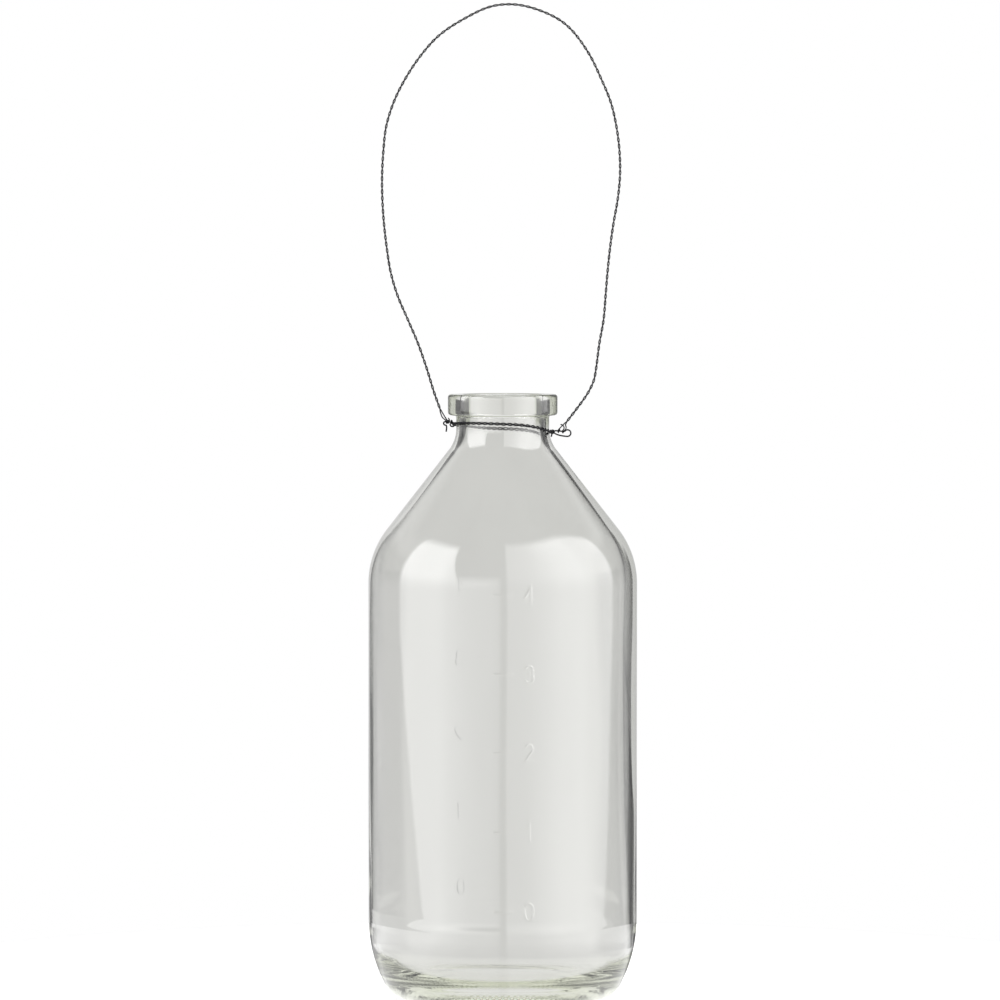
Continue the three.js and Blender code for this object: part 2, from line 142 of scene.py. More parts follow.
class StageSettings(bpy.types.PropertyGroup):
    """The board, the light and the camera."""

    board: FloatProperty(
        name="Board", description="Radius of the white board", default=0.225, unit="LENGTH"
    )
    backdrop: FloatProperty(
        name="Backdrop", description="Brightness behind the glass", default=0.70, min=0
    )
    boxes: FloatProperty(
        name="Light boxes", description="Brightness of the boxes in the glass", default=1.0, min=0
    )
    flags: FloatProperty(
        name="Flags", description="Brightness of the flags beside the backdrop", default=0.02, min=0
    )
    distance: FloatProperty(
        name="Distance", description="From the axis to the camera", default=1.885, unit="LENGTH"
    )
    camera_height: FloatProperty(
        name="Camera height", description="Above the board", default=0.220, unit="LENGTH"
    )
    aim_height: FloatProperty(
        name="Aim height", description="Where the camera looks", default=0.1463, unit="LENGTH"
    )
    aim_side: FloatProperty(
        name="Aim side",
        description="How far right of the axis the camera looks",
        default=-0.78 * MM,
        unit="LENGTH",
    )
    lens: FloatProperty(name="Lens", description="Focal length in millimetres", default=234.2)


class VaseSettings(bpy.types.PropertyGroup):
    """All settings of the vase."""

    bottle: PointerProperty(type=BottleSizes)
    wires: PointerProperty(type=WireSizes)
    finishes: PointerProperty(type=Finishes)
    stage: PointerProperty(type=StageSettings)


# ---- meshes


def mesh_object(name, vertices, faces, material):
    """A smooth object from an array of points and a list of faces."""
    mesh = bpy.data.meshes.new(name)
    mesh.from_pydata([tuple(v) for v in vertices], [], faces)
    mesh.materials.append(material)
    mesh.shade_smooth()
    mesh.validate()
    obj = bpy.data.objects.new(name, mesh)
    bpy.context.scene.collection.objects.link(obj)
    return obj


def arc(centre, radius, start, end, steps):
    """Points (radius, height) on an arc, with the angles in degrees."""
    angles = np.radians(np.linspace(start, end, steps + 1))
    return [(centre[0] + radius * math.cos(a), centre[1] + radius * math.sin(a)) for a in angles]


def line(start, end, steps):
    """Points between two (radius, height) places, without the places themselves."""
    shares = np.linspace(0, 1, steps + 1)[1:-1]
    (x, z), (to_x, to_z) = start, end
    return [(x + (to_x - x) * s, z + (to_z - z) * s) for s in shares]


def ring_faces(rings, count):
    """Faces between rings of points that follow each other."""
    steps = [(k, (k + 1) % count) for k in range(count)]
    return [
        (low + k, low + after, low + count + after, low + count + k)
        for low in range(0, (rings - 1) * count, count)
        for k, after in steps
    ]


# ---- the bottle's profile

HEEL_HEIGHT = 24.8 * MM
HEEL_SIDE_RADIUS = 41 * MM
HEEL_SIDE_ANGLE = 27
BEARING_WIDTH = 2.6 * MM
PUNT_DEPTH = 3.2 * MM
SHOULDER_RADIUS = 25.5 * MM
CONE_ANGLE = 38
NECK_RADIUS = 13.5 * MM
NECK_FILLET = 10 * MM
NECK_LENGTH = 3.84 * MM
RIM_RADIUS = 15.9 * MM
RIM_HEIGHT = 6.1 * MM
RIM_EDGE = 0.9 * MM
GROOVE_FILLET = 0.7 * MM
BORE_RADIUS = 11.25 * MM
MOUTH_EDGE = 0.8 * MM
FLOOR_THICKNESS = 4.4 * MM
INNER_HEEL_RADIUS = 13 * MM
FLOOR_CROWN = 1.2 * MM
ROW_STEP = 2.4 * MM
FINE_STEP = 0.18 * MM


def foot_profile():
    """The underside and the heel, from the axis to the straight wall."""
    side = math.radians(HEEL_SIDE_ANGLE)
    centre = (BODY_RADIUS - HEEL_SIDE_RADIUS, HEEL_HEIGHT)
    toe = (HEEL_HEIGHT - HEEL_SIDE_RADIUS * math.sin(side)) / (1 - math.sin(side))
    outer = BODY_RADIUS - HEEL_SIDE_RADIUS * (1 - math.cos(side)) - toe * math.cos(side)
    inner = outer - BEARING_WIDTH
    punt = (inner**2 + PUNT_DEPTH**2) / (2 * PUNT_DEPTH)
    turn = math.degrees(math.asin(inner / punt))
    return [
        *arc((0, PUNT_DEPTH - punt), punt, 90, 90 - turn, steps=14),
        *line((inner, 0), (outer, 0), steps=5),
        *arc((outer, toe), toe, -90, -HEEL_SIDE_ANGLE, steps=34),
        *arc(centre, HEEL_SIDE_RADIUS, -HEEL_SIDE_ANGLE, 0, steps=14)[1:],
    ]


def shoulder_height(wall, neck_radius):
    """From the straight wall's end to the straight neck, at a depth inside the outer surface."""
    cone = math.radians(CONE_ANGLE)
    foot = BODY_RADIUS - wall - (SHOULDER_RADIUS - wall) * (1 - math.cos(cone))
    top = neck_radius + (NECK_FILLET + wall) * (1 - math.cos(cone))
    return (SHOULDER_RADIUS + NECK_FILLET) * math.sin(cone) + (foot - top) / math.tan(cone)


SHOULDER_START = BOTTLE_HEIGHT - RIM_HEIGHT - NECK_LENGTH - shoulder_height(0, NECK_RADIUS)


def shoulder_profile(wall, neck_radius):
    """The shoulder at a depth inside the outer surface: an arc, a cone and a hollow fillet."""
    cone = math.radians(CONE_ANGLE)
    radius = SHOULDER_RADIUS - wall
    fillet = NECK_FILLET + wall
    centre = BODY_RADIUS - SHOULDER_RADIUS
    foot = (centre + radius * math.cos(cone), SHOULDER_START + radius * math.sin(cone))
    top_x = neck_radius + fillet * (1 - math.cos(cone))
    top = (top_x, foot[1] + (foot[0] - top_x) / math.tan(cone))
    fillet_height = top[1] + fillet * math.sin(cone)
    return [
        *arc((centre, SHOULDER_START), radius, 0, CONE_ANGLE, steps=18),
        *line(foot, top, steps=10),
        *arc((neck_radius + fillet, fillet_height), fillet, 180 + CONE_ANGLE, 180, steps=12),
    ]


def rim_profile():
    """The rim, from the neck under it, over its top and into the bore."""
    top = BOTTLE_HEIGHT
    under = BOTTLE_HEIGHT - RIM_HEIGHT
    edge, mouth = RIM_RADIUS - RIM_EDGE, BORE_RADIUS + MOUTH_EDGE
    return [
        *arc((NECK_RADIUS + GROOVE_FILLET, under - GROOVE_FILLET), GROOVE_FILLET, 180, 90, steps=5),
        *arc((edge, under + RIM_EDGE), RIM_EDGE, -90, 0, steps=6),
        *line((RIM_RADIUS, under + RIM_EDGE), (RIM_RADIUS, top - RIM_EDGE), steps=5),
        *arc((edge, top - RIM_EDGE), RIM_EDGE, 0, 90, steps=6),
        *line((edge, top), (mouth, top), steps=3),
        *arc((mouth, top - MOUTH_EDGE), MOUTH_EDGE, 90, 180, steps=6),
    ]


def floor_profile(wall):
    """The inner heel and floor, from the straight inner wall to the axis."""
    inner = BODY_RADIUS - wall
    crown = PUNT_DEPTH + FLOOR_THICKNESS
    edge = inner - INNER_HEEL_RADIUS
    height = crown - FLOOR_CROWN
    radius = (edge**2 + FLOOR_CROWN**2) / (2 * FLOOR_CROWN)
    turn = math.degrees(math.asin(edge / radius))
    return [
        *arc((edge, height + INNER_HEEL_RADIUS), INNER_HEEL_RADIUS, 0, -90, steps=20),
        *arc((0, crown - radius), radius, 90 - turn, 90, steps=12)[1:],
    ]


# ---- the moulded scale

MARK_HEIGHTS = [30.3 * MM, 53.0 * MM, 75.7 * MM, 98.1 * MM, 120.6 * MM]
MARK_DASH = (-2.6 * MM, 2.8 * MM)
NUMERAL_PLACE = 7.6 * MM
NUMERAL_HEIGHT = 4.8 * MM
NUMERAL_WIDTH = 2.6 * MM
FRONT_SCALE = 1.5 * math.pi
BACK_SCALE = 0.5 * math.pi + 5.6 * MM / BODY_RADIUS
SCALE_FLAT = 22 * MM
SCALE_START = (HEEL_HEIGHT, HEEL_HEIGHT + MM)
SCALE_END = (SHOULDER_START, SHOULDER_START + 12 * MM)
STROKE_ROUNDNESS = 0.7
ROW_MARGIN = 0.5 * MM


def numeral(digit):
    """The strokes of a plain numeral in a box one unit wide and one high, about its centre."""

    def bow(start, end, turn, half_width, half_height, middle):
        angles = np.radians(np.arange(start, end, turn))
        return [(half_width * math.cos(t), middle + half_height * math.sin(t)) for t in angles]

    ring = bow(0, 361, 20, 0.5, 0.5, 0)
    upper = bow(150, -91, -20, 0.42, 0.26, 0.24)
    lower = bow(90, -151, -20, 0.5, 0.28, -0.22)
    strokes = {
        0: [ring],
        1: [[(-0.2, 0.3), (0.05, 0.5), (0.05, -0.5)]],
        2: [upper[:-3] + [(-0.45, -0.5)], [(-0.45, -0.5), (0.5, -0.5)]],
        3: [upper, lower],
        4: [[(0.2, -0.5), (0.2, 0.5), (-0.5, -0.2), (0.5, -0.2)]],
    }
    return strokes[digit]


def scale_strokes():
    """Every stroke of the scale as pairs of points (along the wall, height)."""
    segments = []
    for digit, height in enumerate(MARK_HEIGHTS):
        segments.append(((MARK_DASH[0], height), (MARK_DASH[1], height)))
        for stroke in numeral(digit):
            points = [
                (NUMERAL_PLACE + x * NUMERAL_WIDTH, height + z * NUMERAL_HEIGHT) for x, z in stroke
            ]
            segments.extend(zip(points, points[1:]))
    return segments


def stroke_mask(along, height, width):
    """1 on a stroke of the scale and 0 beside it, for arrays of places on the wall."""
    nearest = np.full(along.shape, 1.0)
    for (ax, az), (bx, bz) in scale_strokes():
        dx, dz = bx - ax, bz - az
        share = np.clip(((along - ax) * dx + (height - az) * dz) / (dx * dx + dz * dz), 0, 1)
        nearest = np.minimum(nearest, np.hypot(along - ax - share * dx, height - az - share * dz))
    return np.clip(1 - nearest / (width / 2), 0, 1) ** STROKE_ROUNDNESS


def wall_heights():
    """Heights of the rows on the straight outer wall, close together on the scale's marks."""
    rows = []
    height = HEEL_HEIGHT + 0.6 * MM
    top = SHOULDER_START - 0.1 * MM
    reach = 0.5 * NUMERAL_HEIGHT + ROW_MARGIN
    while height < top:
        rows.append(height)
        near = min(abs(height - mark) for mark in MARK_HEIGHTS)
        height += FINE_STEP if near < reach else min(ROW_STEP, max(FINE_STEP, near - reach))
    return rows


def column_angles(count):
    """Angles round the bottle, close together where the scale stands at the front and back."""
    reach = (NUMERAL_PLACE + NUMERAL_WIDTH) / BODY_RADIUS
    fine = FINE_STEP / BODY_RADIUS
    coarse = 2 * math.pi / count
    angles = []
    angle = 0.0
    while angle < 2 * math.pi - 0.5 * fine:
        angles.append(angle)
        near = min(abs(angle - middle) - reach for middle in (FRONT_SCALE, BACK_SCALE))
        step = fine if near < 0 else min(coarse, max(fine, near))
        angle += step
    return np.array(angles)


# ---- waviness


def waves(angle, height, seed, lobes, rise):
    """Smooth unevenness between about -1 and 1 round and along the bottle, the same each time."""
    rng = np.random.default_rng(seed)
    total = np.zeros(np.broadcast(angle, height).shape)
    for count in lobes:
        turn = rng.uniform(0, 2 * math.pi)
        climb = rng.uniform(0.4, 1.0) * 2 * math.pi / rise
        phase = rng.uniform(0, 2 * math.pi)
        total = total + np.cos(count * angle + turn) * np.cos(climb * height + phase)
    return total / math.sqrt(len(lobes))


def step_between(values, low, high):
    """0 below low, 1 above high, and smooth between."""
    share = np.clip((values - low) / (high - low), 0, 1)
    return share * share * (3 - 2 * share)


def band(values, start, end):
    """1 between two soft edges and 0 outside them."""
    return step_between(values, *start) * (1 - step_between(values, *end))


SEAM_HEIGHT = 7.0 * MM
SEAM_WIDTH = 0.35 * MM
SEAM_DEPTH = 0.22 * MM
SEAM_REACH = 30 * MM
STIPPLE_EDGE = (SEAM_HEIGHT - 1.5 * MM, SEAM_HEIGHT - 0.6 * MM)
STIPPLE_REACH = 20 * MM
STIPPLE_COUNT = 120
STIPPLE_PITCH = 0.55 * MM
STIPPLE_HEIGHT = 0.10 * MM
CHILL_DEPTH = 0.03 * MM
CHILL_START = (12 * MM, 30 * MM)
CHILL_END = (145 * MM, 160 * MM)
HOLLOW_START = (9 * MM, 30 * MM)
HOLLOW_END = (128 * MM, 160 * MM)
STREAK_SHARE = 0.25
FLOOR_FADE = (4 * MM, 20 * MM)


def outer_offsets(angle, height, radius, sizes):
    """How far the outer surface stands out of the plain profile."""
    relief = 0
    for middle in (FRONT_SCALE, BACK_SCALE):
        along = (angle - middle) * BODY_RADIUS
        ground = np.exp(-((along / SCALE_FLAT) ** 2))
        relief = relief + sizes.relief * (stroke_mask(along, height, sizes.stroke) - ground)
    relief = relief * band(height, SCALE_START, SCALE_END)
    seam = np.exp(-(((height - SEAM_HEIGHT) / SEAM_WIDTH) ** 2)) * (radius > SEAM_REACH)
    below = (1 - step_between(height, *STIPPLE_EDGE)) * (radius > STIPPLE_REACH)
    stipple = np.cos(STIPPLE_COUNT * angle) * np.cos(height / STIPPLE_PITCH * math.pi)
    chill = waves(angle, height, seed=5, lobes=(3, 4, 6, 9), rise=70 * MM)
    chill = chill * band(height, CHILL_START, CHILL_END)
    foot = STIPPLE_HEIGHT * stipple * below - SEAM_DEPTH * seam
    return relief + foot - CHILL_DEPTH * (1 + chill)


def inner_offsets(angle, height, sizes):
    """How far the hollow stands out of the plain inner profile, along the radius."""
    ripple = waves(angle, height, seed=11, lobes=(2, 3, 5, 7, 11), rise=110 * MM)
    streak = waves(angle, height, seed=12, lobes=(17, 23, 29), rise=60 * MM)
    lean = -sizes.lean * np.cos(angle)
    uneven = lean + sizes.ripple * (ripple + STREAK_SHARE * streak)
    return uneven * band(height, HOLLOW_START, HOLLOW_END)


def bottle_mesh(sizes):
    """The bottle's points and faces: its outer surface, the rim and its hollow."""
    outer = foot_profile()
    outer += [(BODY_RADIUS, height) for height in wall_heights()]
    outer += shoulder_profile(0, NECK_RADIUS)
    outer += rim_profile()
    hollow = list(reversed(shoulder_profile(sizes.wall, BORE_RADIUS)))
    drop = hollow[-1][1] - (PUNT_DEPTH + FLOOR_THICKNESS - FLOOR_CROWN + INNER_HEEL_RADIUS)
    steps = round(drop / ROW_STEP)
    hollow += line(hollow[-1], (hollow[-1][0], hollow[-1][1] - drop), steps)
    hollow += floor_profile(sizes.wall)

    profile = np.array(outer[1:] + hollow[:-1])
    is_outer = np.arange(len(profile)) < len(outer) - 1 - len(rim_profile())
    is_inner = np.arange(len(profile)) >= len(outer) - 1
    angle = column_angles(sizes.columns)[None, :]
    radius = profile[:, 0][:, None]
    height = profile[:, 1][:, None]
    offset = np.where(is_outer[:, None], outer_offsets(angle, height, radius, sizes), 0)
    offset = np.where(is_inner[:, None], inner_offsets(angle, height, sizes), offset)
    fade = step_between(radius, *FLOOR_FADE)
    spread = radius + offset * np.where(is_inner[:, None], fade, 1)
    rows, columns = spread.shape
    z = np.broadcast_to(height, spread.shape)
    points = np.stack([spread * np.cos(angle), spread * np.sin(angle), z], axis=-1).reshape(-1, 3)
    foot = len(points)
    points = np.vstack([points, [0, 0, outer[0][1]], [0, 0, hollow[-1][1]]])
    faces = ring_faces(rows, columns)
    last = (rows - 1) * columns
    for column in range(columns):
        after = (column + 1) % columns
        faces.append((foot, after, column))
        faces.append((foot + 1, last + column, last + after))
    return points, faces


# ---- wire

# The paths are planned for these radii. A strand's middle lies SPREAD radii off the twist's middle.
PLAN_COLLAR = 0.21 * MM
PLAN_BAIL = 0.17 * MM
COLLAR_SPREAD = 1.25
BAIL_SPREAD = 1.27
STRAND_GAP = 0.04 * MM
WRAP_GAP = 0.08 * MM
PATH_STEP = 0.12 * MM
CURVE_STEPS = 12
COIL_STEP = 30
STEPS_PER_TURN = 16
RING_TWIST = 1 / math.cos(math.pi / 5)

COLLAR_CLEARANCE = 0.35 * MM
COLLAR_DROP = 3.05 * MM
COLLAR_TILT_SIDE = 0.5 * MM
COLLAR_TILT_FRONT = 0.85 * MM
COLLAR_SAG = 1.4 * MM
LEFT_EYE_RISE = 0.5 * MM
LEFT_ROD_SPARE = 0.38 * MM
LEFT_EYE_HEIGHT = 1.0 * MM
LEFT_TAIL_SETBACK = 0.45 * MM
LEFT_TAIL_LENGTH = 1.9 * MM
RIGHT_EYE_RISE = 0.53 * MM
RIGHT_EYE_REACH = 4.5 * MM
RIGHT_EYE_RADIUS = 0.95 * MM
RIGHT_EYE_DROP = 0.4 * MM
RIGHT_TAIL_LENGTH = 1.0 * MM
LEFT_OPENING = 6.5
RIGHT_FRONT_OPENING = 12
RIGHT_BACK_OPENING = 6
RIGHT_LEG_SETBACK = 1.2 * MM
RIGHT_LEG_SPREAD = 1.6 * MM

BAIL_RISE = 121 * MM
BAIL_HALF_WIDTH = 34.9 * MM
BAIL_STEM_HEIGHT = 2.7 * MM
BAIL_STEM_CLEARANCE = 2.19 * MM
BAIL_FORK_HEIGHT = 2.1 * MM
BAIL_FORK_CLEARANCE = 1.94 * MM
# The hoop as measured on the photograph: shares of its half width and of its rise.
BAIL_OUTLINE = [
    (-0.570, 0.072), (-0.632, 0.130), (-0.702, 0.188), (-0.786, 0.245), (-0.872, 0.303),
    (-0.930, 0.360), (-0.962, 0.418), (-0.985, 0.476), (-0.998, 0.534), (-1.000, 0.592),
    (-0.989, 0.650), (-0.966, 0.707), (-0.904, 0.765), (-0.806, 0.822), (-0.670, 0.880),
    (-0.522, 0.926), (-0.310, 0.966), (-0.106, 0.993), (0.060, 0.999), (0.226, 0.992),
    (0.447, 0.966), (0.573, 0.937), (0.717, 0.880), (0.815, 0.822), (0.896, 0.765),
    (0.943, 0.707), (0.968, 0.650), (0.973, 0.592), (0.954, 0.534), (0.919, 0.476),
    (0.891, 0.418), (0.870, 0.360), (0.854, 0.303), (0.837, 0.245), (0.802, 0.188),
    (0.776, 0.130), (0.756, 0.100), (0.711, 0.072), (0.645, 0.044),
]  # fmt: skip


def smooth_path(points, step):
    """Evenly spaced points on a smooth curve through the given ones."""
    points = [Vector(p) for p in points]
    first = points[0] * 2 - points[1]
    last = points[-1] * 2 - points[-2]
    padded = [first, *points, last]
    dense = []
    for i in range(1, len(padded) - 2):
        a, b, c, d = padded[i - 1 : i + 3]
        t1 = max((b - a).length, 1e-9) ** 0.5
        t2 = t1 + max((c - b).length, 1e-9) ** 0.5
        t3 = t2 + max((d - c).length, 1e-9) ** 0.5
        for share in np.linspace(0, 1, CURVE_STEPS, endpoint=False):
            t = t1 + (t2 - t1) * share
            ab = a.lerp(b, t / t1)
            bc = b.lerp(c, (t - t1) / (t2 - t1))
            cd = c.lerp(d, (t - t2) / (t3 - t2))
            abc = ab.lerp(bc, t / t2)
            bcd = bc.lerp(cd, (t - t1) / (t3 - t1))
            dense.append(abc.lerp(bcd, (t - t1) / (t2 - t1)))
    dense.append(points[-1])
    dense = np.array([tuple(p) for p in dense])
    lengths = np.concatenate([[0], np.cumsum(np.linalg.norm(np.diff(dense, axis=0), axis=1))])
    count = max(2, math.ceil(lengths[-1] / step))
    at = np.linspace(0, lengths[-1], count + 1)
    return [Vector([np.interp(s, lengths, dense[:, k]) for k in range(3)]) for s in at]


def wire_path(points):
    """A strand's smooth way through the given points."""
    return smooth_path(points, PATH_STEP)


def strand_object(name, path, radius, sides, material):
    """A round rod along a path, with closed ends."""
    tangents = []
    for i in range(len(path)):
        ahead = path[min(i + 1, len(path) - 1)] - path[max(i - 1, 0)]
        tangents.append(ahead.normalized())
    side = tangents[0].orthogonal().normalized()
    angles = [2 * math.pi * k / sides for k in range(sides)]
    points = []
    for i, centre in enumerate(path):
        if i:
            side = tangents[i - 1].rotation_difference(tangents[i]) @ side
        side = (side - tangents[i] * side.dot(tangents[i])).normalized()
        up = tangents[i].cross(side)
        for angle in angles:
            across, over = radius * math.cos(angle), radius * math.sin(angle)
            points.append(centre + side * across + up * over)
    faces = ring_faces(len(path), sides)
    faces.append(tuple(reversed(range(sides))))
    faces.append(tuple((len(path) - 1) * sides + k for k in range(sides)))
    return mesh_object(name, points, faces, material)


class WirePlan:
    """The middle lines of the collar, its eyes and the bail."""

    def __init__(self, wires):
        self.pitch = wires.pitch
        self.collar_twist = wires.collar_strand * COLLAR_SPREAD
        self.bail_twist = wires.bail_strand * BAIL_SPREAD
        self.spacing = 2 * PLAN_COLLAR + STRAND_GAP
        self.coil = PLAN_COLLAR + PLAN_BAIL + WRAP_GAP
        self.lead = 4 * PLAN_BAIL + 3 * STRAND_GAP
        self.winding_end = 1.45 * self.spacing
        self.left_reach = self.winding_end + LEFT_ROD_SPARE + 1.5 * self.lead
        half_twist = RING_TWIST * (self.spacing / 2)
        self.ring_radius = NECK_RADIUS + COLLAR_CLEARANCE + PLAN_COLLAR + half_twist
        self.ring_height = BOTTLE_HEIGHT - RIM_HEIGHT - COLLAR_DROP
        self.stem_out = RIM_RADIUS + BAIL_STEM_CLEARANCE - self.ring_radius
        self.fork_out = RIM_RADIUS + BAIL_FORK_CLEARANCE - self.ring_radius
        self.left_eye = self.ring_point(180) + Vector((0, 0, LEFT_EYE_RISE))
        self.right_eye = self.ring_point(360) + Vector((0, 0, RIGHT_EYE_RISE))
        self.hinge = (self.right_eye - self.left_eye).normalized()
        self.hinge_up = Vector((-self.hinge.z, 0, self.hinge.x))

    def ring_point(self, degrees):
        """A point of the ring's middle line: 180 is the left side, 270 the front, 360 the right."""
        angle = math.radians(degrees)
        x, y = math.cos(angle), math.sin(angle)
        sag = COLLAR_SAG * max(0, x) ** 3
        height = self.ring_height - COLLAR_TILT_SIDE * x - COLLAR_TILT_FRONT * y - sag
        return Vector((self.ring_radius * x, self.ring_radius * y, height))

    def ring_strand(self, degrees, phase):
        """A point of one strand of the ring; phase 0 lies outside the ring."""
        angle = math.radians(degrees)
        out, up = self.collar_twist * math.cos(phase), self.collar_twist * math.sin(phase)
        return self.ring_point(degrees) + Vector((out * math.cos(angle), out * math.sin(angle), up))

    def ring_twist(self, start, end, phase):
        """One strand's twist between two places of the ring, with whole turns between them."""
        turns = round(math.radians(end - start) * self.ring_radius / self.pitch)
        full = 2 * math.pi * turns
        shares = np.linspace(0, 1, turns * STEPS_PER_TURN + 1)
        return [self.ring_strand(start + (end - start) * s, phase + full * s) for s in shares]

    def left(self, out, back, up):
        """A place measured from the left eye: outward along the hinge line, to the back, and up."""
        return self.left_eye - self.hinge * out + self.hinge_up * up + Vector((0, back, 0))

    def right(self, out, back, up):
        """A place measured from the right eye."""
        return self.right_eye + self.hinge * out + self.hinge_up * up + Vector((0, back, 0))

    def round_end(self, place, centre_out, centre_up, radius, start, end):
        """Part of the round end of an eye, upright in the plane of the bail."""
        steps = math.ceil(abs(end - start) / COIL_STEP)
        turn = arc((centre_out, centre_up), radius, start, end, steps)
        return [place(out, 0, up) for out, up in turn]

    def wrap(self, place, strand, start_out, end_out, start, end):
        """A strand wound round an eye's upper rod; 0 is above the rod and 90 in front of it."""
        radius = PLAN_COLLAR + strand + WRAP_GAP
        points = []
        for share in np.linspace(0, 1, math.ceil(abs(end - start) / COIL_STEP) + 1):
            angle = math.radians(start + (end - start) * share)
            out = start_out + (end_out - start_out) * share
            points.append(place(out, -radius * math.sin(angle), radius * math.cos(angle)))
        return points

    def collar_strand_one(self):
        """From the left eye's tail round the front, the right eye and the back to the left eye."""
        left, right, gap = self.left, self.right, self.spacing
        tail_out = self.left_reach - LEFT_TAIL_SETBACK
        half = LEFT_EYE_HEIGHT / 2
        left_eye = wire_path([
            left(tail_out, 0, -LEFT_EYE_HEIGHT - LEFT_TAIL_LENGTH),
            left(tail_out, 0, -LEFT_EYE_HEIGHT - gap),
            left(tail_out + 0.3 * gap, 0, -LEFT_EYE_HEIGHT - 0.2 * gap),
            *self.round_end(left, self.left_reach, -half, half, -90, 90),
            left(0.67 * self.left_reach, 0, 0),
            left(1.1 * gap, -0.1 * gap, 0),
            left(0.2 * gap, -1.1 * gap, -0.1 * gap),
            self.ring_strand(180 + LEFT_OPENING, 0),
        ])  # fmt: skip
        reach, depth = RIGHT_EYE_REACH, RIGHT_EYE_DROP + RIGHT_EYE_RADIUS
        right_eye = wire_path([
            self.ring_strand(360 - RIGHT_FRONT_OPENING, 0),
            self.ring_strand(360 - 0.6 * RIGHT_FRONT_OPENING, 0),
            right(1.5 * gap, -1.3 * gap, -0.52 * depth),
            right(0.33 * reach, -0.2 * gap, -0.78 * depth),
            right(0.62 * reach, 0, -0.96 * depth),
            *self.round_end(right, reach, -RIGHT_EYE_DROP, RIGHT_EYE_RADIUS, -90, 125),
            right(0.8 * reach, 0, 0.07 * gap),
            right(0.5 * reach, 0, 0),
            right(0.25 * reach, 0, 0),
            right(1.1 * gap, 0.85 * gap, -0.33 * gap),
            self.ring_strand(360 + RIGHT_BACK_OPENING, 0),
        ])  # fmt: skip
        close = wire_path([
            self.ring_strand(540 - LEFT_OPENING, 0),
            left(0.75 * gap, 2.05 * gap, 0.45 * gap),
            *self.wrap(left, PLAN_COLLAR, 1.05 * gap, self.winding_end, -30, 150),
        ])  # fmt: skip
        return [
            *left_eye[:-1],
            *self.ring_twist(180 + LEFT_OPENING, 360 - RIGHT_FRONT_OPENING, 0),
            *right_eye[1:-1],
            *self.ring_twist(360 + RIGHT_BACK_OPENING, 540 - LEFT_OPENING, 0),
            *close[1:],
        ]

    def collar_strand_two(self):
        """From the right round the back, under the left eye and round the front to its tail."""
        left, gap = self.left, self.spacing
        carrier = self.ring_strand(360 - 0.75 * RIGHT_FRONT_OPENING, 0)
        radius = 2 * PLAN_COLLAR + WRAP_GAP

        def wound(degrees, back):
            angle = math.radians(degrees)
            return carrier + Vector((radius * math.cos(angle), back, radius * math.sin(angle)))

        tail = wire_path([
            self.ring_strand(360 - RIGHT_FRONT_OPENING, math.pi),
            wound(130, -0.55 * gap),
            wound(75, -0.2 * gap),
            wound(15, 0.1 * gap),
            wound(-45, 0.2 * gap),
            wound(-100, 0),
            wound(-120, -0.4 * gap) + Vector((-0.3 * gap, 0, -RIGHT_TAIL_LENGTH)),
        ])  # fmt: skip
        pass_left = wire_path([
            self.ring_strand(180 - LEFT_OPENING, math.pi),
            left(0.2 * gap, 1.95 * gap, -1.1 * gap),
            left(1.2 * gap, gap, -0.78 * gap),
            left(1.76 * gap, 0.65 * gap, -1.44 * gap),
            left(1.4 * gap, 0.45 * gap, -2.4 * gap),
            left(0, 0.1 * gap, -2.7 * gap),
            left(-0.8 * gap, -0.85 * gap, -2.05 * gap),
            self.ring_strand(180 + LEFT_OPENING, math.pi),
        ])  # fmt: skip
        return [
            *self.ring_twist(RIGHT_BACK_OPENING, 180 - LEFT_OPENING, math.pi),
            *pass_left[1:-1],
            *self.ring_twist(180 + LEFT_OPENING, 360 - RIGHT_FRONT_OPENING, math.pi),
            *tail[1:],
        ]

    def bail_twist_path(self, start_phase):
        """One strand of the bail's twist; phase 0 lies on the outer side of the hoop."""
        foot = self.left_eye.z
        outline = [Vector((x * BAIL_HALF_WIDTH, 0, foot + z * BAIL_RISE)) for x, z in BAIL_OUTLINE]
        stem = self.left(self.stem_out, 0, BAIL_STEM_HEIGHT)
        fork = self.right(self.fork_out, 0, BAIL_FORK_HEIGHT)
        middle = smooth_path([stem, *outline, fork], PATH_STEP)
        length = sum((b - a).length for a, b in zip(middle, middle[1:]))
        turns = round(length / self.pitch) + 0.5
        middle = smooth_path(middle, length / (turns * STEPS_PER_TURN))
        path = []
        for i, point in enumerate(middle):
            along = (middle[min(i + 1, len(middle) - 1)] - middle[max(i - 1, 0)]).normalized()
            outward = Vector((-along.z, 0, along.x))
            phase = start_phase + 2 * math.pi * turns * i / (len(middle) - 1)
            offset = outward * (self.bail_twist * math.cos(phase))
            path.append(point + offset - Vector((0, self.bail_twist * math.sin(phase), 0)))
        return path

    def toward_stem(self, coil_out, out, front, up):
        """A place between a strand's coil and the twist on the left, in shares of that way."""
        out = coil_out + (self.stem_out - coil_out) * out
        return self.left(out, -self.coil * front, BAIL_STEM_HEIGHT * up)

    def toward_fork(self, coil_out, out, front, up):
        """The same on the right."""
        out = coil_out + (self.fork_out - coil_out) * out
        return self.right(out, -self.coil * front, BAIL_FORK_HEIGHT * up)

